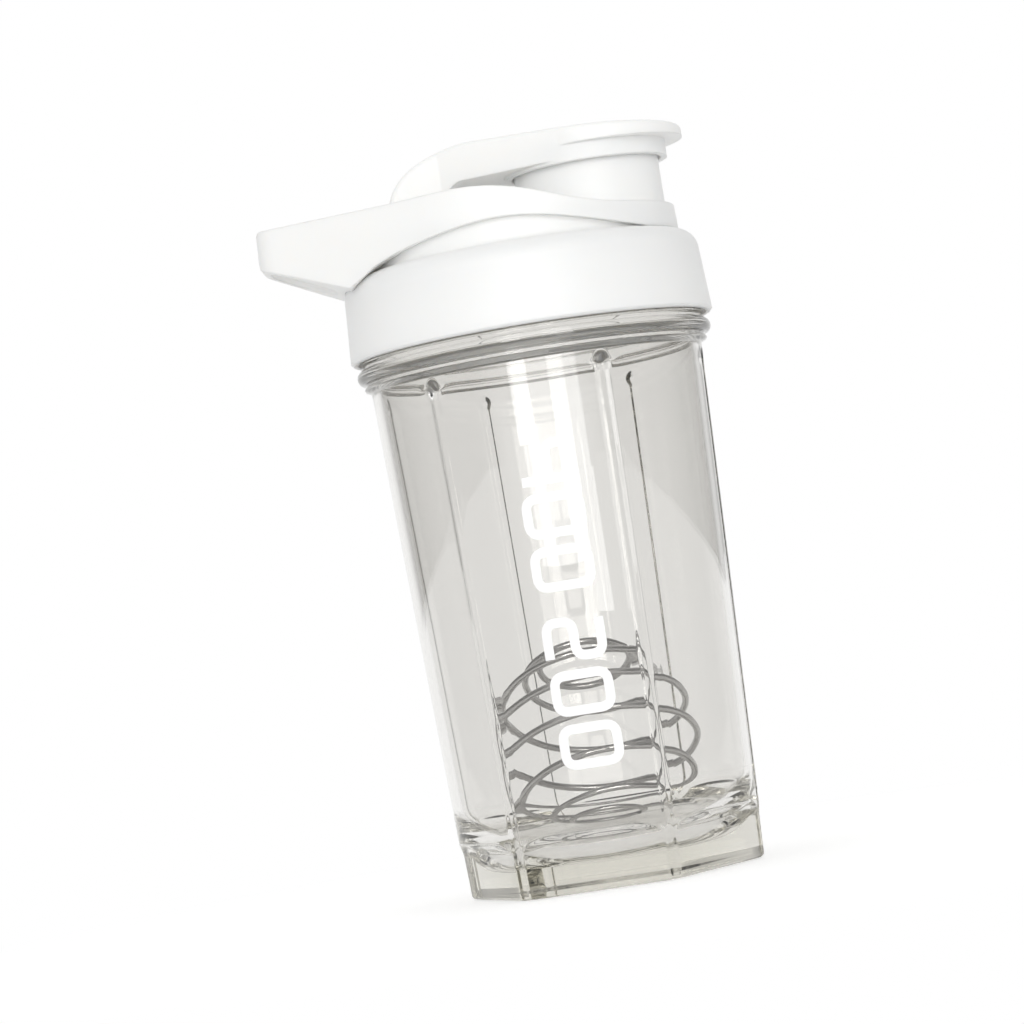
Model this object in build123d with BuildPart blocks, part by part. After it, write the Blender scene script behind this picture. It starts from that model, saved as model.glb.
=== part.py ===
"""Shaker bottle: clear cup, screw lid with spout, carry handle, flip cap, seals and wire whisk ball.

Millimetres, +Z up. The origin is the centre of the cup's underside; +X points to the spout, -X to the carry loop.
"""

import os
from math import acos, atan, cos, hypot, pi, radians, sin, sqrt, tan

from build123d import *

os.makedirs("parts", exist_ok=True)

# ---------------------------------------------------------------- fits
run_gap = 0.3  # between faces of pieces that move past each other
pin_fit = 0.05  # radial running fit of the cap's barrel on the hinge pin
ear_fit = 0.01  # radial fit of the pin in the ears
rest_gap = 0.2  # under the loose whisk ball

# ---------------------------------------------------------------- cup
base_r = 36.6  # outer radius at the underside
wall_top_r = 41.1  # outer radius where the tapered wall ends
wall_top_z = 126.4
cup_wall = 2.3
floor_z = 6.5  # lowest point of the inside
bowl_r = 17.0  # round between the inner wall and the floor
base_edge_r = 1.0
flat_depth = 4.3  # flats round the foot, one between each two grooves
flat_h = 10.5  # their plain height
flat_round_r = 4.0  # from the flats out to the round wall
flat_bevel = 0.7  # their lower edge
ring_out = 1.5  # small ring under the bead, proud of the wall
ring_rise = 0.9  # its sloping underside
ring_h = 1.9
bead_foot = 1.0  # groove between ring and bead, proud of the wall
bead_groove = 0.4
bead_out = 2.9  # main bead, proud of the wall
bead_h = 3.6
band_out = 1.4  # plain band above the bead, proud of the wall
band_h = 2.2
band_slope = 0.9
neck_wall = 2.0
neck_h = 17.7  # rim above the bead
small_edge_r = 0.4

groove_count = 6
groove_r = 1.7  # cutter radius of the vertical grooves
groove_depth = 1.0  # at the underside
groove_end_depth = 0.8  # at the top
groove_stop = 1.2  # plain wall left above each groove
groove_clock = -8.0  # degrees from +X
dimple_r = 2.6  # round notch at the top of each groove
dimple_depth = 1.3

# ---------------------------------------------------------------- thread
thread_lead = 9.0
thread_starts = 2
thread_turns = 0.9
thread_h = 1.1
thread_root_w = 2.3  # width of the ridge at its root, inside the wall
thread_crest = 0.9
thread_root = 0.4  # how deep the ridge is rooted in its wall
thread_low = 1.8  # first ridge above the foot of the neck

# ---------------------------------------------------------------- lid
skirt_wall = 1.6  # at the top of the skirt
skirt_flare = 1.2  # more at its lower edge
skirt_gap = 1.6  # lid's lower edge above the bead
skirt_bevel = 0.6
lead_in = 1.0  # wider mouth of the skirt
lead_in_h = 1.5
gasket_t = 2.2
lid_top_t = 2.2
shoulder_r = 4.7
cove_r = 1.2  # between shoulder and collar
collar_h = 6.3  # deck above the shoulder
collar_wall = 2.3
inside_r = 1.5

spout_r = 17.9
spout_wall = 2.3
spout_h = 15.3  # above the deck
spout_inset = 0.1  # from the collar's outside
spout_edge_r = 0.6

# ---------------------------------------------------------------- hinge
hinge_x = -24.5
hinge_rise = 6.2  # axis above the deck
barrel_r = 5.6
pin_r = 1.9
arm_half = 8.0  # half width of the cap's leg
side_gap = 0.4  # beside the leg
ear_t = 2.4
ear_half = 4.2
ear_sink = 1.0  # ears rooted in the deck

# ---------------------------------------------------------------- flip cap
cap_wall = 1.6
cap_gap = 0.7  # round the spout's outside
cap_skirt = 2.7  # overlap down the spout
seal_t = 1.6
cap_top_t = 3.7
arm_drop = 1.9  # arm's underside below the spout's rim
back_r = 14.3  # round of the leg's back
back_turn = 30.0  # degrees from level where the back passes into the crown
crown_r = 30.0  # round of the crown
top_slope = 3.3  # degrees, from the crown down to the brim
leg_in = 11.5  # leg's inner face right of the axis, at the arm's underside
leg_corner_r = 4.5
narrow_x = 9.5  # the arm widens this far right of the axis
brim_out = 4.4  # thumb brim beyond the cap's front
brim_r = 21.4
brim_t = 3.8
arm_edge_r = 1.2  # round of the top edge

plug_h = 2.8
plug_gap = 0.3
plug_taper = 1.1
flange_gap = 0.5

gasket_lip = 1.2
gasket_lip_t = 0.8

# ---------------------------------------------------------------- carry handle
sash_wall = 2.6  # outside the collar
sash_fit = 0.05  # between the sash and the lid it sits on
sash_draft = 2.0  # degrees
crest_wall = 3.2
crest_h = 8.1  # sash's high edge above the deck
loop_side = 2.9  # bars beside the finger hole
loop_bar = 3.2  # end bar beyond it
hole_len = 15.0
hole_r = 6.0
hole_gap = 0.8  # finger hole outside the skirt
crest_start = -0.72  # side view, as shares of the sash's radius: the level crest begins
crest_back = -0.35  # and ends
crest_mid = 0.12  # middle of its sweep
crest_front = 0.69  # it meets the deck
crest_share = 0.62  # of the crest's height left at the middle of the sweep
swoosh_xs = (0.94, 0.52, -0.04, -0.48, -0.89)  # lower edge, from the spout to the loop
swoosh_rises = (-0.8, 2.1, 5.8, 4.3, -0.4)  # above the lid's shoulder
heel_drop = 3.4  # lowest point of the loop's root, under the shoulder
heel_in = 2.6  # inside the skirt's edge
loop_low_rise = 6.0  # underside of the loop's end, above the shoulder
tip_rise = 1.0  # top of the loop's end, above the crest
tip_cut = 0.8  # flat at the loop's end
tip_edge_r = 1.5
side_room = 2.0  # the side view reaches this far past the plan
channel_gap = 0.6  # between the cap's leg and the channel behind it
channel_rise = 0.3  # channel floor above the deck

# ---------------------------------------------------------------- whisk ball
ball_r = 26.5
wire_r = 0.85
ball_turns = 6
steps_per_turn = 12
low_loop_r = 9.0
high_loop_r = 11.5
ball_lean = 30.0  # degrees, the loose ball lies with its lower loop turned to the front

# ---------------------------------------------------------------- derived heights and radii
wall_slope = (wall_top_r - base_r) / wall_top_z
bead_z = wall_top_z + ring_h + bead_groove
bead_top_z = bead_z + bead_h
band_top_z = bead_top_z + band_h
neck_z = band_top_z + band_slope
rim_z = bead_top_z + neck_h
inner_r = wall_top_r - cup_wall
neck_r = inner_r + neck_wall

skirt_in_r = neck_r + thread_h + run_gap
skirt_top_r = skirt_in_r + skirt_wall
skirt_low_r = skirt_top_r + skirt_flare
skirt_z = bead_top_z + skirt_gap
seat_z = rim_z + gasket_t
shoulder_z = seat_z + lid_top_t
deck_z = shoulder_z + collar_h
collar_r = skirt_top_r - shoulder_r - cove_r - 0.1
collar_in_r = collar_r - collar_wall

spout_x = collar_r - spout_inset - spout_r
spout_z = deck_z + spout_h
spout_bore_r = spout_r - spout_wall

hinge_z = deck_z + hinge_rise
ear_y = arm_half + side_gap

cap_seat_z = spout_z + seal_t
cap_top_z = cap_seat_z + cap_top_t
cap_in_r = spout_r + cap_gap
cap_r = cap_in_r + cap_wall
arm_low_z = spout_z - arm_drop


def thread_ridge(wall_r, low_z, side):
    """One helical ridge on a wall of radius wall_r; side is 1 outwards, -1 inwards."""
    with BuildPart() as ridge:
        with BuildLine() as path:
            Helix(thread_lead, thread_lead * thread_turns, wall_r, center=(0, 0, low_z))
        with BuildSketch(Plane((wall_r, 0, low_z), x_dir=(side, 0, 0), z_dir=(0, 1, 0))):
            with BuildLine():
                Polyline(
                    (-thread_root, -thread_root_w / 2),
                    (thread_h, -thread_crest / 2),
                    (thread_h, thread_crest / 2),
                    (-thread_root, thread_root_w / 2),
                    close=True,
                )
            make_face()
        sweep(path=path.line, is_frenet=True)
    return ridge.part


# ---------------------------------------------------------------- cup
bowl_corner = (inner_r - wall_slope * (wall_top_z - floor_z), floor_z)
ring_r = wall_top_r + ring_out
bead_foot_r = wall_top_r + bead_foot
band_r = wall_top_r + band_out

groove_low_x = base_r + groove_r - groove_depth
groove_end_z = wall_top_z - groove_stop - groove_r
groove_end_x = wall_top_r + groove_r - groove_end_depth
dimple_x = wall_top_r - wall_slope * (wall_top_z - groove_end_z) + dimple_r - dimple_depth

with BuildPart() as groove_cutter:
    rise = Vector(groove_end_x - groove_low_x, 0, groove_end_z)
    with BuildSketch(Plane((groove_low_x, 0, 0), x_dir=(0, 1, 0), z_dir=rise)):
        Circle(groove_r)
    extrude(amount=rise.length, both=True)
    with Locations((groove_end_x, 0, groove_end_z)):
        Sphere(groove_r)

# profile of the space outside one flat, which is centred between two grooves
flat_x = base_r - flat_depth
flat_top_x = flat_x + wall_slope * flat_h
flat_out_x = flat_top_x + flat_round_r
flat_end_z = flat_h + flat_round_r
with BuildPart() as flat_cutter:
    with BuildSketch(Plane.XZ):
        with BuildLine():
            Polyline(
                (flat_x - 2 * flat_bevel, -flat_bevel),
                (flat_x, flat_bevel),
                (flat_top_x, flat_h),
            )
            ThreePointArc(
                (flat_top_x, flat_h),
                (flat_out_x - flat_round_r * cos(pi / 4), flat_h + flat_round_r * sin(pi / 4)),
                (flat_out_x, flat_end_z),
            )
            Polyline(
                (flat_out_x, flat_end_z),
                (flat_out_x + base_r, flat_end_z),
                (flat_out_x + base_r, -flat_bevel),
                (flat_x - 2 * flat_bevel, -flat_bevel),
            )
        make_face()
    extrude(amount=base_r, both=True)

with BuildPart() as cup:
    with BuildSketch(Plane.XZ) as cup_profile:
        with BuildLine():
            Polyline(
                (0, floor_z),
                (0, 0),
                (base_r, 0),
                (wall_top_r, wall_top_z),
                (ring_r, wall_top_z + ring_rise),
                (ring_r, wall_top_z + ring_h),
                (bead_foot_r, bead_z),
            )
            ThreePointArc(
                (bead_foot_r, bead_z),
                (wall_top_r + bead_out, bead_z + bead_h / 2),
                (bead_foot_r, bead_top_z),
            )
            Polyline(
                (bead_foot_r, bead_top_z),
                (band_r, bead_top_z),
                (band_r, band_top_z),
                (neck_r, neck_z),
                (neck_r, rim_z),
                (inner_r, rim_z),
                (inner_r, wall_top_z),
                bowl_corner,
                (0, floor_z),
            )
        make_face()
        corners = cup_profile.vertices()
        fillet(corners.sort_by_distance((*bowl_corner, 0))[0], bowl_r)
        fillet(cup_profile.vertices().sort_by_distance((base_r, 0, 0))[0], base_edge_r)
        for edge_r, edge_z in [(ring_r, wall_top_z + ring_h), (band_r, band_top_z), (neck_r, rim_z), (inner_r, rim_z)]:
            fillet(cup_profile.vertices().sort_by_distance((edge_r, edge_z, 0))[0], small_edge_r)
    revolve(axis=Axis.Z)
    with PolarLocations(0, groove_count, start_angle=groove_clock + 180 / groove_count):
        add(flat_cutter.part, mode=Mode.SUBTRACT)
    with Locations((0, 0, groove_end_z)):
        with PolarLocations(dimple_x, groove_count, start_angle=groove_clock):
            Sphere(dimple_r, rotation=(0, 0, 180), mode=Mode.SUBTRACT)
    with PolarLocations(0, groove_count, start_angle=groove_clock):
        add(groove_cutter.part, mode=Mode.SUBTRACT)
    cup_ridge = thread_ridge(neck_r, neck_z + thread_low, 1)
    with PolarLocations(0, thread_starts):
        add(cup_ridge)
cup.part.label = "cup"
export_step(cup.part, "parts/cup.step")

# ---------------------------------------------------------------- lid
def lid_form(grow):
    """Solid outer form of the lid without its spout, grown outwards and upwards by grow."""
    with BuildPart() as form:
        with BuildSketch(Plane.XZ) as outline:
            with BuildLine():
                Polyline(
                    (0, skirt_z),
                    (skirt_low_r - skirt_bevel + grow, skirt_z),
                    (skirt_low_r + grow, skirt_z + skirt_bevel),
                    (skirt_top_r + grow, shoulder_z + grow),
                    (collar_r + grow, shoulder_z + grow),
                    (collar_r + grow, deck_z + grow),
                    (0, deck_z + grow),
                    close=True,
                )
            make_face()
            fillet(outline.vertices().sort_by_distance((skirt_top_r, shoulder_z, 0))[0], shoulder_r + grow)
            fillet(outline.vertices().sort_by_distance((collar_r, shoulder_z, 0))[0], cove_r - grow)
        revolve(axis=Axis.Z)
    return form.part


with BuildPart() as lid:
    add(lid_form(0))
    with Locations((spout_x, 0, deck_z)):
        Cylinder(spout_r, spout_h, align=(Align.CENTER, Align.CENTER, Align.MIN))

    # hollow inside: room for the neck, then the space under the deck
    with BuildSketch(Plane.XZ) as hollow:
        with BuildLine():
            Polyline(
                (0, skirt_z),
                (skirt_in_r + lead_in, skirt_z),
                (skirt_in_r + lead_in, skirt_z + lead_in_h),
                (skirt_in_r, skirt_z + lead_in_h + lead_in),
                (skirt_in_r, seat_z),
                (collar_in_r, seat_z),
                (collar_in_r, deck_z - lid_top_t),
                (0, deck_z - lid_top_t),
                close=True,
            )
        make_face()
        fillet(hollow.vertices().sort_by_distance((collar_in_r, deck_z - lid_top_t, 0))[0], inside_r)
    revolve(axis=Axis.Z, mode=Mode.SUBTRACT)

    # spout bore
    with Locations((spout_x, 0, seat_z)):
        Cylinder(
            spout_bore_r,
            spout_z - seat_z,
            align=(Align.CENTER, Align.CENTER, Align.MIN),
            mode=Mode.SUBTRACT,
        )
    fillet(lid.edges().filter_by(GeomType.CIRCLE).group_by(Axis.Z)[-1], spout_edge_r)

    # two ears for the hinge pin
    for side in (1, -1):
        with BuildSketch(Plane.XZ.offset(-side * (ear_y + ear_t / 2))):
            with Locations((hinge_x, hinge_z)):
                Circle(ear_half)
            with Locations((hinge_x, deck_z - ear_sink)):
                Rectangle(2 * ear_half, hinge_rise + ear_sink, align=(Align.CENTER, Align.MIN))
            with Locations((hinge_x, hinge_z)):
                Circle(pin_r + ear_fit, mode=Mode.SUBTRACT)
        extrude(amount=ear_t / 2, both=True)

    lid_ridge = thread_ridge(skirt_in_r, neck_z + thread_low + thread_lead / thread_starts / 2, -1)
    with PolarLocations(0, thread_starts):
        add(lid_ridge)
lid.part.label = "lid"
export_step(lid.part, "parts/lid.step")

# ---------------------------------------------------------------- lid gasket
with BuildPart() as lid_gasket:
    with BuildSketch(Plane.XZ) as gasket_profile:
        lip_r = inner_r - run_gap
        with BuildLine():
            Polyline(
                (lip_r - gasket_lip_t, rim_z - gasket_lip),
                (lip_r, rim_z - gasket_lip),
                (lip_r, rim_z),
                (skirt_in_r - run_gap, rim_z),
                (skirt_in_r - run_gap, seat_z),
                (lip_r - gasket_lip_t, seat_z),
                close=True,
            )
        make_face()
    revolve(axis=Axis.Z)
lid_gasket.part.label = "lid_gasket"
export_step(lid_gasket.part, "parts/lid_gasket.step")

# ---------------------------------------------------------------- carry handle
sash_r = collar_r + sash_wall
sash_low_z = skirt_z + 8.0
crest_z = deck_z + crest_h
channel_half = arm_half + channel_gap
hole_in_x = -(skirt_low_r + hole_gap)
hole_out_x = hole_in_x - hole_len
loop_reach = loop_bar - hole_out_x
loop_corner_r = hole_r + loop_side

with BuildPart() as carry_handle:
    # plan: a ring round the collar, with straight sides from it to the loop
    leave = pi - atan(loop_corner_r / loop_reach) - acos(sash_r / hypot(loop_reach, loop_corner_r))
    root_x, root_y = sash_r * cos(leave), sash_r * sin(leave)
    tip = [(-loop_reach, loop_corner_r), (-loop_reach, -loop_corner_r)]
    with BuildSketch(Plane.XY.offset(sash_low_z)) as plan:
        Circle(sash_r)
        with BuildLine():
            Polyline(*tip, (root_x, -root_y), (root_x, root_y), close=True)
        make_face()
        for corner in tip:
            fillet(plan.vertices().sort_by_distance((*corner, 0))[0], loop_corner_r)
    extrude(amount=crest_z + side_room - sash_low_z, taper=sash_draft)

    # side view: level crest that sweeps down to the spout, and the swoosh underneath
    crest = [(crest_back * sash_r, crest_z), (crest_mid * sash_r, deck_z + crest_share * crest_h)]
    crest.append((crest_front * sash_r, deck_z))
    swoosh = [(share * sash_r, shoulder_z + rise) for share, rise in zip(swoosh_xs, swoosh_rises)]
    end_x = -loop_reach + tip_cut
    end_low_z = shoulder_z + loop_low_rise
    end_top_z = crest_z + tip_rise
    with BuildSketch(Plane.XZ) as side_outline:
        with BuildLine():
            Polyline((end_x, end_low_z), (end_x, end_top_z), (crest_start * sash_r, crest_z), crest[0])
            Spline(crest, tangents=[(1, 0), (1, 0)])
            Polyline(crest[-1], (sash_r + side_room, deck_z), (sash_r + side_room, swoosh[0][1]), swoosh[0])
            Spline(swoosh, tangents=[(-1, 0.1), (-1, -0.6)])
            Polyline(
                swoosh[-1],
                (-skirt_top_r + heel_in, shoulder_z - heel_drop),
                (end_x, end_low_z),
            )
        make_face()
        for edge_z in (end_low_z, end_top_z):
            fillet(side_outline.vertices().sort_by_distance((end_x, edge_z, 0))[0], tip_edge_r)
    extrude(amount=2 * sash_r, both=True, mode=Mode.INTERSECT)

    # the lid's collar and shoulder, the open middle and the cap's channel
    add(lid_form(sash_fit), mode=Mode.SUBTRACT)
    with BuildSketch(Plane.XY.offset(deck_z)):
        Circle(sash_r - crest_wall)
    extrude(amount=2 * crest_h, mode=Mode.SUBTRACT)
    with BuildSketch(Plane.XY.offset(deck_z + channel_rise)):
        with Locations((hole_in_x - hole_r, 0)):
            Rectangle(-hole_in_x + hole_r, 2 * channel_half, align=(Align.MIN, Align.CENTER))
    extrude(amount=2 * crest_h, mode=Mode.SUBTRACT)

    # finger hole
    with BuildSketch(Plane.XY.offset(sash_low_z)):
        with Locations(((hole_in_x + hole_out_x) / 2, 0)):
            RectangleRounded(hole_in_x - hole_out_x, 2 * channel_half, hole_r)
    extrude(amount=4 * crest_h, mode=Mode.SUBTRACT)
carry_handle.part.label = "carry_handle"
export_step(carry_handle.part, "parts/carry_handle.step")

# ---------------------------------------------------------------- flip cap
brim_x = spout_x + cap_r + brim_out - brim_r
front_x = brim_x + brim_r + 1

with BuildPart() as flip_cap:
    # plan view: narrow leg that widens to the round cap, with the thumb brim above
    with BuildSketch(Plane.XY.offset(hinge_z - barrel_r)) as plan_view:
        with Locations((spout_x, 0)):
            Circle(cap_r)
        with Locations((hinge_x + narrow_x, 0)):
            Rectangle(2, 2 * arm_half)
        make_hull()
        with Locations((hinge_x - barrel_r - 2, 0)):
            Rectangle(narrow_x + barrel_r + 2, 2 * arm_half, align=(Align.MIN, Align.CENTER))
    extrude(amount=cap_top_z + brim_t - hinge_z + barrel_r)
    with BuildSketch(Plane.XY.offset(cap_top_z - brim_t)):
        with Locations((brim_x, 0)):
            Circle(brim_r)
    extrude(amount=2 * brim_t)

    # side view: one smooth top from the hinge over the crown down to the brim
    with BuildSketch(Plane.XZ) as side_view:
        with BuildLine():
            back = JernArc((hinge_x - barrel_r, hinge_z), (0, 1), back_r, back_turn - 90)
            top = JernArc(back @ 1, back % 1, crown_r, -back_turn - top_slope)
            front_z = (top @ 1).Y - (front_x - (top @ 1).X) * tan(radians(top_slope))
            Polyline(
                top @ 1,
                (front_x, front_z),
                (front_x, arm_low_z),
                (hinge_x + leg_in, arm_low_z),
                (hinge_x + 0.8 * barrel_r, hinge_z - 0.6 * barrel_r),
                (hinge_x - barrel_r, hinge_z),
            )
        make_face()
        fillet(side_view.vertices().sort_by_distance((hinge_x + leg_in, arm_low_z, 0))[0], leg_corner_r)
    extrude(amount=cap_r + brim_out, both=True, mode=Mode.INTERSECT)

    # band round the spout
    with BuildSketch(Plane.XY.offset(spout_z - cap_skirt)):
        with Locations((spout_x, 0)):
            Circle(cap_r)
    extrude(amount=cap_skirt + seal_t)

    # room for the spout's rim and the seal
    with Locations((spout_x, 0, cap_seat_z)):
        Cylinder(cap_in_r, 4 * cap_skirt, align=(Align.CENTER, Align.CENTER, Align.MAX), mode=Mode.SUBTRACT)

    # rounded top edge, all the way round
    top_faces = flip_cap.faces().filter_by(lambda face: face.normal_at().Z > 0.2)
    across = [edge for edge in flip_cap.edges().filter_by(Axis.Y)]
    top_edges = [edge for face in top_faces for edge in face.edges() if edge not in across]
    fillet(top_edges, arm_edge_r)

    # hinge barrel
    with BuildSketch(Plane.XZ):
        with Locations((hinge_x, hinge_z)):
            Circle(barrel_r)
    extrude(amount=arm_half, both=True)
    with BuildSketch(Plane.XZ):
        with Locations((hinge_x, hinge_z)):
            Circle(pin_r + pin_fit)
    extrude(amount=arm_half, both=True, mode=Mode.SUBTRACT)
flip_cap.part.label = "flip_cap"
export_step(flip_cap.part, "parts/flip_cap.step")

# ---------------------------------------------------------------- hinge pin
with BuildPart() as hinge_pin:
    with BuildSketch(Plane.XZ):
        with Locations((hinge_x, hinge_z)):
            Circle(pin_r)
    extrude(amount=ear_y + ear_t, both=True)
    chamfer(hinge_pin.edges().filter_by(GeomType.CIRCLE), 0.3)
hinge_pin.part.label = "hinge_pin"
export_step(hinge_pin.part, "parts/hinge_pin.step")

# ---------------------------------------------------------------- spout seal
with BuildPart() as spout_seal:
    with BuildSketch(Plane.XY.offset(spout_z)):
        with Locations((spout_x, 0)):
            Circle(cap_in_r - flange_gap)
    extrude(amount=seal_t)
    with Locations((spout_x, 0, spout_z)):
        Cone(
            spout_bore_r - plug_gap - plug_taper,
            spout_bore_r - plug_gap,
            plug_h,
            align=(Align.CENTER, Align.CENTER, Align.MAX),
        )
spout_seal.part.label = "spout_seal"
export_step(spout_seal.part, "parts/spout_seal.step")

# ---------------------------------------------------------------- whisk ball
coil_r = ball_r - wire_r


def ball_route():
    """Points of the wire: a loop round the lower pole, a spherical spiral, a loop round the upper pole."""
    low = sin_angle(low_loop_r)
    high = pi - sin_angle(high_loop_r)
    loop_steps = steps_per_turn - 1
    coil_steps = ball_turns * steps_per_turn
    points = []
    for k in range(-loop_steps, coil_steps + loop_steps + 1):
        share = min(max(k / coil_steps, 0), 1)
        polar = low + (high - low) * share
        turn = 2 * pi * k / steps_per_turn
        ring = coil_r * sin(polar)
        points.append(Vector(ring * cos(turn), ring * sin(turn), -coil_r * cos(polar)).rotate(Axis.X, -ball_lean))
    lift = Vector(0, 0, floor_z + rest_gap + wire_r - min(point.Z for point in points))
    return [point + lift for point in points]


def sin_angle(loop_r):
    """Angle from the ball's pole to a loop of radius loop_r."""
    return Vector(0, 0, 1).get_angle(Vector(loop_r, 0, sqrt(coil_r**2 - loop_r**2))) * pi / 180


route = ball_route()
bend_radii = []
for before, corner, after in zip(route, route[1:], route[2:]):
    bend = radians((corner - before).get_angle(after - corner))
    shorter = min((corner - before).length, (after - corner).length)
    bend_radii.append(0.45 * shorter / tan(bend / 2))

with BuildPart() as whisk_ball:
    with BuildLine() as wire:
        FilletPolyline(route, radius=bend_radii)
    with BuildSketch(Plane(route[0], z_dir=route[1] - route[0])):
        Circle(wire_r)
    sweep(path=wire.line)
whisk_ball.part.label = "whisk_ball"
export_step(whisk_ball.part, "parts/whisk_ball.step")
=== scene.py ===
"""Looks of a clear shaker bottle with a white screw lid, carry loop, flip cap and wire whisk ball.

Metres, +Z up, the row frame of the CAD model. The cup and the printed scale are worked out in millimetres.
"""

import math

import bpy
import numpy as np
from mathutils import Matrix, Vector


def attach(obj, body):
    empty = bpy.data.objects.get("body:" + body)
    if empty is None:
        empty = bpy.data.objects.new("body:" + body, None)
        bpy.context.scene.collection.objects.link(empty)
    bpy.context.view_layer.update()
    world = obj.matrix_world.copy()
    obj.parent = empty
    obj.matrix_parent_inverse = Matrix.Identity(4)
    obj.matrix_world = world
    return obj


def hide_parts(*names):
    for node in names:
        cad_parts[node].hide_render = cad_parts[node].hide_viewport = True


MM = 0.001

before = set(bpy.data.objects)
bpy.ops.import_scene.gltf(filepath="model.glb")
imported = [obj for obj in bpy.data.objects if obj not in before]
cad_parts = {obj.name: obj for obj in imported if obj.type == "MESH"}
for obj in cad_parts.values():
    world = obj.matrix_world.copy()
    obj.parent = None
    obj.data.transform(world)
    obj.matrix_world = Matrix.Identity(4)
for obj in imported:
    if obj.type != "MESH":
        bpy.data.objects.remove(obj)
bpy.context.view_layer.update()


# ---------------------------------------------------------------- materials
def material(name, **values):
    """New material with its nodes, links and Principled shader; values are named as its sockets."""
    mat = bpy.data.materials.new(name)
    mat.use_nodes = True
    shader = mat.node_tree.nodes["Principled BSDF"]
    for key, value in values.items():
        shader.inputs[key.replace("_", " ")].default_value = value
    return mat, mat.node_tree.nodes, mat.node_tree.links, shader


def soft_edges(nodes, links, shader, radius, grain, strength):
    """Rounded-looking edges and a faint moulded grain."""
    bevel = nodes.new("ShaderNodeBevel")
    bevel.samples = 6
    bevel.inputs["Radius"].default_value = radius
    noise = nodes.new("ShaderNodeTexNoise")
    noise.inputs["Scale"].default_value = grain
    noise.inputs["Detail"].default_value = 3
    place = nodes.new("ShaderNodeTexCoord")
    links.new(place.outputs["Object"], noise.inputs["Vector"])
    bump = nodes.new("ShaderNodeBump")
    bump.inputs["Strength"].default_value = strength
    bump.inputs["Distance"].default_value = 0.0002
    links.new(noise.outputs["Fac"], bump.inputs["Height"])
    links.new(bevel.outputs["Normal"], bump.inputs["Normal"])
    links.new(bump.outputs["Normal"], shader.inputs["Normal"])


def white_plastic():
    mat, nodes, links, shader = material(
        "white_plastic",
        Base_Color=(0.92, 0.92, 0.91, 1),
        Roughness=0.46,
        IOR=1.49,
        Subsurface_Weight=0.35,
        Subsurface_Scale=0.005,
    )
    shader.inputs["Subsurface Radius"].default_value = (1.0, 0.9, 0.8)
    soft_edges(nodes, links, shader, radius=0.0007, grain=900, strength=0.06)
    return mat


def silicone():
    colour = (0.74, 0.75, 0.76, 1)
    mat, nodes, links, shader = material("silicone", Base_Color=colour, Roughness=0.55, IOR=1.42)
    soft_edges(nodes, links, shader, radius=0.0003, grain=1500, strength=0.1)
    return mat


def clear_plastic():
    mat, nodes, links, shader = material(
        "clear_plastic",
        Base_Color=(0.868, 0.861, 0.846, 1),
        Roughness=0.0,
        IOR=1.5,
        Transmission_Weight=1.0,
    )
    smoke = nodes.new("ShaderNodeVolumeAbsorption")
    smoke.inputs["Color"].default_value = (0.80, 0.79, 0.74, 1)
    smoke.inputs["Density"].default_value = 27
    links.new(smoke.outputs["Volume"], nodes["Material Output"].inputs["Volume"])
    return mat


def steel():
    colour = (0.44, 0.435, 0.43, 1)
    mat, nodes, links, shader = material("steel_wire", Base_Color=colour, Metallic=1.0)
    noise = nodes.new("ShaderNodeTexNoise")
    noise.inputs["Scale"].default_value = 2500
    place = nodes.new("ShaderNodeTexCoord")
    links.new(place.outputs["Object"], noise.inputs["Vector"])
    spread = nodes.new("ShaderNodeMapRange")
    spread.inputs["To Min"].default_value = 0.10
    spread.inputs["To Max"].default_value = 0.24
    links.new(noise.outputs["Fac"], spread.inputs["Value"])
    links.new(spread.outputs["Result"], shader.inputs["Roughness"])
    return mat


def print_ink():
    return material("print_ink", Base_Color=(0.96, 0.96, 0.96, 1), Roughness=0.4)[0]


LOOKS = {
    "white_plastic": white_plastic(),
    "silicone": silicone(),
    "clear_plastic": clear_plastic(),
    "steel_wire": steel(),
    "print_ink": print_ink(),
}


def dress(obj, look):
    obj.data.materials.clear()
    obj.data.materials.append(LOOKS[look])


for node in ("lid", "carry_handle", "flip_cap", "hinge_pin"):
    dress(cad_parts[node], "white_plastic")
for node in ("lid_gasket", "spout_seal"):
    dress(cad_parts[node], "silicone")
dress(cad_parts["whisk_ball"], "steel_wire")
dress(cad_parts["cup"], "clear_plastic")


# ---------------------------------------------------------------- cup
# millimetres, as in the CAD model
GROOVES = 6
GROOVE_CLOCK = math.radians(-8)
GROOVE_DEPTH, GROOVE_HALF = 0.42, 1.15
# the underside has no groove inside this radius
GROOVE_IN_R = 34.5
LIP_DEPTH, LIP_HALF = 0.22, 2.4
GROOVE_END_Z, GROOVE_RUN_OUT = 123.5, 1.6
NOTCH_DEPTH, NOTCH_HALF, NOTCH_DROP = 0.75, 1.75, 0.6
BASE_R, WALL_TOP_R, WALL_TOP_Z = 36.6, 41.1, 126.4
NECK_R, NECK_Z, RIM_Z, RIM_ROUND = 40.8, 135.4, 150.0, 0.5
INSIDE_R, FLOOR_Z, BOWL_SIDE_R, BOWL_ROUND = 38.8, 6.5, 35.13, 17.0
SLOPE = (WALL_TOP_R - BASE_R) / WALL_TOP_Z
LEAD, RIDGE_LOW, RIDGE_H, RIDGE_TURNS = 9.0, 137.2, 1.1, 0.9
RIDGE_HALF, RIDGE_FLANK, RIDGE_RUN_OUT = 1.0, 0.55, 0.12
FLAT_X, FLAT_H, FLAT_ROUND, FOOT_EDGE, FLAT_BLEND = 32.3, 10.5, 4.0, 1.0, 0.3
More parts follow.
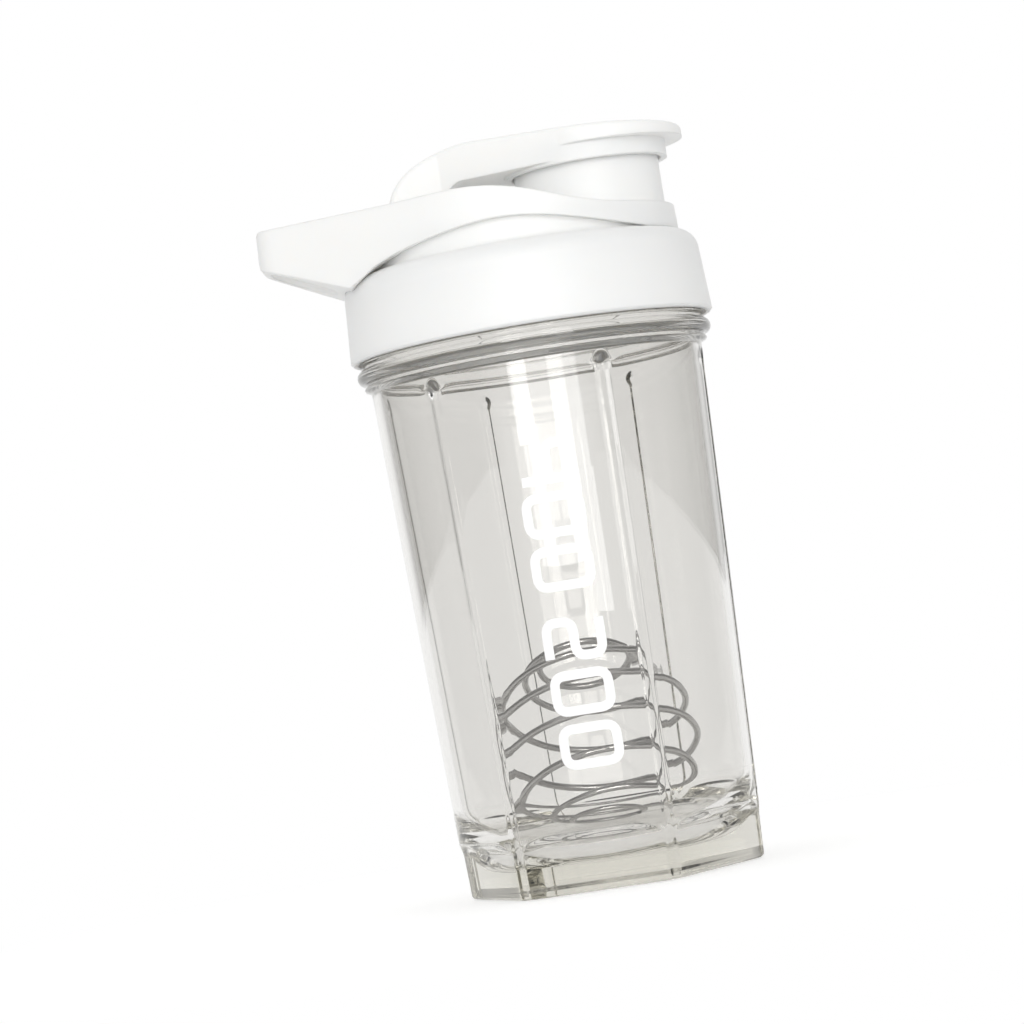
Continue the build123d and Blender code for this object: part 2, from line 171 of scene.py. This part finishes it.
# centre radius, centre height and radius of the round edges between the wall and the neck
RING_EDGE = (42.15, 127.6, 0.45)
RING_HOLLOW = (42.3, 128.45, 0.4)
BEAD = (42.2, 130.5, 1.8)
BAND_R = 42.1
BAND_EDGE = (BAND_R, 134.1, 0.4)
# half width of the dense columns beside each groove, in degrees
FINE_HALF = 5.4


def arc(cx, cz, r, a0, a1, n):
    return [(cx + r * math.cos(a), cz + r * math.sin(a)) for a in np.radians(np.linspace(a0, a1, n))]


def wall(low, high, n):
    return [(BASE_R + SLOPE * z, z) for z in np.linspace(low, high, n)]


def outside_profile():
    """(radius, height) from the centre of the underside up to the rim, then down the inside to the floor."""
    pts = [(0.0, 0.0), (12, 0.0), (24, 0.0), (31, 0.0), (34, 0.0)]
    pts += arc(BASE_R - FOOT_EDGE + SLOPE * FOOT_EDGE, FOOT_EDGE, FOOT_EDGE, -90, 0, 9)
    pts += wall(2, FLAT_H + FLAT_ROUND + 1.5, 40) + wall(18, 114, 34) + wall(115, WALL_TOP_Z - 0.5, 34)
    pts += [(WALL_TOP_R, WALL_TOP_Z), (41.35, 126.65), (42.35, 127.15)]
    pts += arc(*RING_EDGE, -40, 90, 8)[1:]
    pts += arc(*RING_HOLLOW, 250, 180, 5)
    pts += [(BAND_R, 128.7)]
    pts += arc(*BEAD, -88, 88, 25)
    pts += [(BAND_R, 132.3)]
    pts += arc(*BAND_EDGE, 0, 70, 5)
    pts += [(41.6, 134.9), (NECK_R + 0.1, NECK_Z - 0.05)]
    pts += [(NECK_R, z) for z in np.linspace(NECK_Z + 0.1, RIM_Z - RIM_ROUND - 0.1, 58)]
    pts += arc(NECK_R - RIM_ROUND, RIM_Z - RIM_ROUND, RIM_ROUND, 0, 90, 6)
    pts += arc(INSIDE_R + RIM_ROUND, RIM_Z - RIM_ROUND, RIM_ROUND, 90, 180, 6)
    pts += [(INSIDE_R, z) for z in (148, 140, 132, 126.6)] + [(INSIDE_R - 0.01, 126.2)]
    pts += [(INSIDE_R - SLOPE * (WALL_TOP_Z - z), z) for z in np.linspace(124, 24, 30)]
    pts += arc(BOWL_SIDE_R - BOWL_ROUND, FLOOR_Z + BOWL_ROUND, BOWL_ROUND, -2, -90, 30)
    pts += [(r, FLOOR_Z) for r in (14, 8, 0.0)]
    return pts


def smooth_step(x):
    x = np.clip(x, 0, 1)
    return x * x * (3 - 2 * x)


def flat_distance(z):
    """Distance of the foot's flats from the axis at a height."""
    if z < FOOT_EDGE:
        return FLAT_X - FOOT_EDGE + math.sqrt(FOOT_EDGE**2 - (FOOT_EDGE - z) ** 2)
    if z < FLAT_H:
        return FLAT_X + SLOPE * z
    rise = z - FLAT_H
    return FLAT_X + SLOPE * FLAT_H + FLAT_ROUND - math.sqrt(FLAT_ROUND**2 - rise**2)


def soft_min(a, b, k):
    """The smaller of a and b, with the corner between them rounded by k."""
    h = np.clip(0.5 + 0.5 * (b - a) / k, 0, 1)
    return b + (a - b) * h - k * h * (1 - h)


def flatten_foot(radius, off, z):
    """Six flats round the foot, each between two grooves."""
    flat = flat_distance(z) / np.cos(math.pi / GROOVES - np.abs(off))
    if z > 0:
        return soft_min(radius, flat, FLAT_BLEND)
    edge = BASE_R - FOOT_EDGE + SLOPE * FOOT_EDGE
    return radius * soft_min(np.full(len(off), edge), flat, FLAT_BLEND) / edge


def groove_depth(d, z):
    """Round-bottomed groove with soft lips and a notch at its upper end, at a distance d beside it."""
    shape = GROOVE_DEPTH * np.exp(-((d / GROOVE_HALF) ** 4)) + LIP_DEPTH * np.exp(-((d / LIP_HALF) ** 2))
    end = smooth_step((GROOVE_END_Z + NOTCH_DROP - z) / GROOVE_RUN_OUT)
    reach = np.sqrt(d * d + (z - GROOVE_END_Z + NOTCH_DROP) ** 2)
    return shape * end + NOTCH_DEPTH * np.exp(-((reach / NOTCH_HALF) ** 4))


def thread_height(theta, z):
    """Two-start outside thread, with both ends of each ridge run out."""
    rise = np.zeros(len(theta))
    for start in (0.0, math.pi):
        turn = (theta - start) % (2 * math.pi)
        for lap in (0, 1):
            along = turn + 2 * math.pi * lap
            height = RIDGE_LOW + LEAD * along / (2 * math.pi)
            left = RIDGE_TURNS * 2 * math.pi - along
            ends = smooth_step(along / RIDGE_RUN_OUT) * smooth_step(left / RIDGE_RUN_OUT)
            rise += RIDGE_H * ends * np.clip((RIDGE_HALF - np.abs(z - height)) / RIDGE_FLANK, 0, 1)
    return rise


def cup_mesh():
    profile = outside_profile()
    rim_at = max(range(len(profile)), key=lambda i: profile[i][1])
    half = math.pi / GROOVES
    # columns are dense beside each groove and sparse between them
    fine = np.radians(np.linspace(-FINE_HALF, FINE_HALF, 61))
    coarse = np.linspace(math.radians(FINE_HALF), 2 * half - math.radians(FINE_HALF), 30)[1:-1]
    sector = np.concatenate([fine, coarse])
    theta = np.concatenate([sector + GROOVE_CLOCK + 2 * half * k for k in range(GROOVES)])
    n = len(theta)
    off = (theta - GROOVE_CLOCK + half) % (2 * half) - half
    verts, rows = [], []
    for j, (r, z) in enumerate(profile):
        if r == 0:
            rows.append([len(verts)])
            verts.append((0, 0, z))
            continue
        radius = np.full(n, r, float)
        if j <= rim_at and z < FLAT_H + FLAT_ROUND:
            radius = flatten_foot(radius, off, z)
        if j <= rim_at and z < WALL_TOP_Z and r > GROOVE_IN_R:
            radius -= groove_depth(np.abs(off) * r, z)
        if j <= rim_at and z > NECK_Z:
            radius += thread_height(theta, z)
        rows.append(list(range(len(verts), len(verts) + n)))
        verts += list(zip(radius * np.cos(theta), radius * np.sin(theta), np.full(n, z)))
    faces = []
    for a, b in zip(rows, rows[1:]):
        for i in range(n):
            k = (i + 1) % n
            if len(a) == 1:
                faces.append((a[0], b[k], b[i]))
            elif len(b) == 1:
                faces.append((a[i], a[k], b[0]))
            else:
                faces.append((a[i], a[k], b[k], b[i]))
    mesh = bpy.data.meshes.new("cup_clear")
    mesh.from_pydata([tuple(c * MM for c in v) for v in verts], [], faces)
    mesh.update()
    mesh.shade_smooth()
    return mesh


def add(name, mesh, look, body):
    obj = bpy.data.objects.new(name, mesh)
    bpy.context.scene.collection.objects.link(obj)
    dress(obj, look)
    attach(obj, body)
    return obj


cup = add("cup_clear", cup_mesh(), "clear_plastic", "cup")
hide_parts("cup")
# clear plastic lets the lamps' light through
cup.visible_shadow = False


# ---------------------------------------------------------------- camera
CAMERA_AT = Vector((-1.868, -839.112, 59.102)) * MM
YAW, PITCH, ROLL = math.radians(-0.66), math.radians(2.292), math.radians(-9.047)
forward = Vector((math.sin(YAW) * math.cos(PITCH), math.cos(YAW) * math.cos(PITCH), math.sin(PITCH)))
right = Vector((math.cos(YAW), -math.sin(YAW), 0))
up = right.cross(forward)
cam_x = math.cos(ROLL) * right + math.sin(ROLL) * up
cam_y = -math.sin(ROLL) * right + math.cos(ROLL) * up
camera = bpy.data.objects.new("camera", bpy.data.cameras.new("camera"))
bpy.context.scene.collection.objects.link(camera)
turned = Matrix((cam_x, cam_y, -forward)).transposed().to_4x4()
camera.matrix_world = Matrix.Translation(CAMERA_AT) @ turned
camera.data.sensor_width = 36
camera.data.lens = 120.05
camera.data.clip_end = 20
bpy.context.scene.camera = camera
bpy.context.scene.view_settings.view_transform = "Standard"
# light takes many turns inside thick clear plastic
bpy.context.scene.cycles.max_bounces = 24
bpy.context.scene.cycles.glossy_bounces = 16
bpy.context.scene.cycles.transmission_bounces = 24


# ---------------------------------------------------------------- floor, backdrop and light
# fill light from most sides and from above
FILL_SIDE, FILL_ABOVE = 1.0, 0.64
WALL_GLOW = 0.3
FLOOR_AT_Z, FLOOR_SIDE = -0.0002, 12
FLOOR_LIFT = 0.34
# the floor's shadow fades to plain white between these distances
FADE_NEAR, FADE_FAR = 0.05, 0.20
LAMP_TARGET = (0, 0, 0.1)
STRIP_AWAY = 0.75


def math_node(nodes, links, operation, first, second=None, clamp=False):
    node = nodes.new("ShaderNodeMath")
    node.operation = operation
    node.use_clamp = clamp
    links.new(first, node.inputs[0])
    if second is not None:
        links.new(second, node.inputs[1])
    return node.outputs[0]


def map_range(nodes, links, value, smooth, **limits):
    node = nodes.new("ShaderNodeMapRange")
    if smooth:
        node.interpolation_type = "SMOOTHSTEP"
    for name, limit in limits.items():
        node.inputs[name.replace("_", " ")].default_value = limit
    links.new(value, node.inputs["Value"])
    return node.outputs["Result"]


def glow(nodes, kind, strength, colour=(1, 1, 1, 1)):
    """Background or emission shader."""
    node = nodes.new(kind)
    node.inputs["Color"].default_value = colour
    node.inputs["Strength"].default_value = strength
    return node


def mix_shader(nodes, links, share, first, second):
    node = nodes.new("ShaderNodeMixShader")
    links.new(share, node.inputs["Fac"])
    links.new(first, node.inputs[1])
    links.new(second, node.inputs[2])
    return node.outputs[0]


def seen_ray(nodes, links):
    """1 for camera, glossy and transmission rays, 0 for the rest."""
    path = nodes.new("ShaderNodeLightPath")
    seen = math_node(nodes, links, "MAXIMUM", path.outputs["Is Camera Ray"], path.outputs["Is Glossy Ray"])
    return math_node(nodes, links, "MAXIMUM", seen, path.outputs["Is Transmission Ray"])


def make_world():
    world = bpy.data.worlds.new("studio")
    bpy.context.scene.world = world
    world.use_nodes = True
    nodes, links = world.node_tree.nodes, world.node_tree.links
    nodes.clear()
    fill = glow(nodes, "ShaderNodeBackground", 1.0, (0.99, 0.99, 0.985, 1))
    white = glow(nodes, "ShaderNodeBackground", 1.0)
    walls = glow(nodes, "ShaderNodeBackground", WALL_GLOW, (0.9, 0.88, 0.85, 1))
    heading = nodes.new("ShaderNodeTexCoord").outputs["Generated"]
    # the room is a little darker above
    above = nodes.new("ShaderNodeVectorMath")
    above.operation = "DOT_PRODUCT"
    above.inputs[1].default_value = (0.10, 0.20, 0.97)
    links.new(heading, above.inputs[0])
    level = map_range(
        nodes, links, above.outputs["Value"], False,
        From_Min=-0.1, From_Max=0.9, To_Min=FILL_SIDE, To_Max=FILL_ABOVE,
    )
    links.new(level, fill.inputs["Strength"])
    # darker side walls, seen only in glass and metal
    parts = nodes.new("ShaderNodeSeparateXYZ")
    links.new(heading, parts.inputs[0])
    sideways = math_node(nodes, links, "ABSOLUTE", parts.outputs["X"])
    aside = map_range(nodes, links, sideways, True, From_Min=0.45, From_Max=0.75)
    camera_ray = nodes.new("ShaderNodeLightPath").outputs["Is Camera Ray"]
    indirect = math_node(nodes, links, "SUBTRACT", aside, camera_ray, clamp=True)
    room = mix_shader(nodes, links, indirect, white.outputs[0], walls.outputs[0])
    out = nodes.new("ShaderNodeOutputWorld")
    light = mix_shader(nodes, links, seen_ray(nodes, links), fill.outputs[0], room)
    links.new(light, out.inputs["Surface"])


def make_floor():
    """Pale floor that shows the object's shadow near it and is plain white further off."""
    half = FLOOR_SIDE / 2
    mesh = bpy.data.meshes.new("floor")
    corners = [(-half, -half, 0), (half, -half, 0), (half, half, 0), (-half, half, 0)]
    mesh.from_pydata(corners, [], [(0, 1, 2, 3)])
    obj = bpy.data.objects.new("floor", mesh)
    bpy.context.scene.collection.objects.link(obj)
    obj.matrix_world = Matrix.Translation((0, 0, FLOOR_AT_Z))
    mat, nodes, links, shader = material(
        "floor", Base_Color=(0.92, 0.92, 0.92, 1), Roughness=1.0, Specular_IOR_Level=0.0
    )
    lifted = nodes.new("ShaderNodeAddShader")
    links.new(shader.outputs[0], lifted.inputs[0])
    links.new(glow(nodes, "ShaderNodeEmission", FLOOR_LIFT).outputs[0], lifted.inputs[1])
    distance = nodes.new("ShaderNodeVectorMath")
    distance.operation = "LENGTH"
    links.new(nodes.new("ShaderNodeTexCoord").outputs["Object"], distance.inputs[0])
    fade = map_range(nodes, links, distance.outputs["Value"], True, From_Min=FADE_NEAR, From_Max=FADE_FAR)
    seen = seen_ray(nodes, links)
    own = mix_shader(nodes, links, seen, shader.outputs[0], lifted.outputs[0])
    share = math_node(nodes, links, "MULTIPLY", fade, seen)
    white = glow(nodes, "ShaderNodeEmission", 1.0)
    surface = mix_shader(nodes, links, share, own, white.outputs[0])
    links.new(surface, nodes["Material Output"].inputs["Surface"])
    mesh.materials.append(mat)


def lamp(name, at, target, size, watts, colour=(1, 1, 1)):
    light = bpy.data.lights.new(name, "AREA")
    light.shape = "RECTANGLE"
    light.size, light.size_y = size
    light.energy = watts
    light.color = colour
    obj = bpy.data.objects.new(name, light)
    bpy.context.scene.collection.objects.link(obj)
    aim = (Vector(target) - Vector(at)).to_track_quat("-Z", "Y").to_matrix().to_4x4()
    obj.matrix_world = Matrix.Translation(at) @ aim
    return obj


def strip(name, azimuth, width, low, high, glare):
    """Upright soft box beside the camera, for a sharp reflection in the front panel."""
    turn = math.radians(azimuth)
    height = high - low
    at = Vector((STRIP_AWAY * math.cos(turn), STRIP_AWAY * math.sin(turn), low + height / 2))
    obj = lamp(name, at, (0, 0, at.z), (width, height), glare * math.pi * width * height)
    obj.visible_diffuse = False


make_world()
make_floor()
lamp("key", (0.0, -1.5, 0.45), LAMP_TARGET, (1.0, 1.0), 7.0, (1.0, 0.995, 0.98))
strip("strip_left", -103.5, 0.16, 0.098, 0.45, 3.6)
strip("strip_right", -73.5, 0.26, 0.085, 0.45, 2.5)
strip("strip_foot", -68.0, 0.145, 0.020, 0.085, 2.5)


# ---------------------------------------------------------------- printed scale
# millimetres; each number's height on the cup is that of its middle
STROKE, STROKE_SHARES = 2.3, np.linspace(-0.5, 0.5, 5)
DIGIT_H, DIGIT_W, DIGIT_GAP = 15.0, 8.4, 1.9
CORNER_R = 2.6
PRINT_STEP = 0.8
PRINT_LIFT = 0.04
SCALE_ANGLE = math.radians(-92.0)
LEVELS = [("400", 89.0), ("200", 47.0)]


def rounded(points, radius, closed):
    """Polyline with its corners rounded."""
    out, n = [], len(points)
    for i, p in enumerate(points):
        if not closed and i in (0, n - 1):
            out.append(Vector(p))
            continue
        a, b, c = Vector(points[i - 1]), Vector(p), Vector(points[(i + 1) % n])
        r = min(radius, (a - b).length / 2, (c - b).length / 2)
        start, end = b + (a - b).normalized() * r, b + (c - b).normalized() * r
        for t in np.linspace(0, 1, 7):
            out.append(start.lerp(b, t).lerp(b.lerp(end, t), t))
    return out


def digit_lines(digit):
    """Centre lines of a digit in a box DIGIT_W wide and DIGIT_H high, as (points, closed)."""
    w, h = DIGIT_W, DIGIT_H - STROKE
    m = h / 2
    return {
        "0": [([(0, 0), (w, 0), (w, h), (0, h)], True)],
        "2": [([(0, h), (w, h), (w, m), (0, m), (0, 0), (w, 0)], False)],
        "4": [([(0, h), (0, m), (w, m)], False), ([(w, h), (w, 0)], False)],
    }[digit]


def stroke(points, closed, verts, faces, place):
    """Flat ribbon of width STROKE along points, laid on the wall by place."""
    pts = [Vector(p) for p in points]
    fine = []
    count = len(pts) if closed else len(pts) - 1
    for i in range(count):
        a, b = pts[i], pts[(i + 1) % len(pts)]
        steps = max(1, int((b - a).length / PRINT_STEP))
        fine += [a.lerp(b, k / steps) for k in range(steps)]
    if not closed:
        fine.append(pts[-1])
    n = len(fine)
    rows = []
    for i, p in enumerate(fine):
        before = fine[i - 1] if (closed or i) else p
        after = fine[(i + 1) % n] if (closed or i < n - 1) else p
        way = (after - before).normalized()
        side = Vector((-way.y, way.x))
        rows.append(len(verts))
        for share in STROKE_SHARES:
            verts.append(place(p + side * STROKE * share))
    for i in range(n if closed else n - 1):
        a, b = rows[i], rows[(i + 1) % n]
        for k in range(len(STROKE_SHARES) - 1):
            faces.append((a + k, b + k, b + k + 1, a + k + 1))


def scale_mesh():
    verts, faces = [], []

    def on_wall(along, height):
        """Point just outside the wall: along round it to the right, height up the axis."""
        r = BASE_R + SLOPE * height + PRINT_LIFT
        turn = SCALE_ANGLE + along / r
        return (r * math.cos(turn) * MM, r * math.sin(turn) * MM, height * MM)

    for number, level in LEVELS:
        pitch = DIGIT_W + STROKE + DIGIT_GAP
        length = pitch * (len(number) - 1) + DIGIT_W
        for k, digit in enumerate(number):
            start = level + length / 2 - k * pitch
            for points, closed in digit_lines(digit):
                line = rounded(points, CORNER_R, closed)
                # a digit's up direction points right, the number reads downwards
                middle = (DIGIT_H - STROKE) / 2
                stroke(line, closed, verts, faces, lambda p: on_wall(p.y - middle, start - p.x))
    mesh = bpy.data.meshes.new("ml_scale")
    mesh.from_pydata(verts, [], faces)
    mesh.update()
    mesh.shade_smooth()
    return mesh


add("ml_scale", scale_mesh(), "print_ink", "cup")
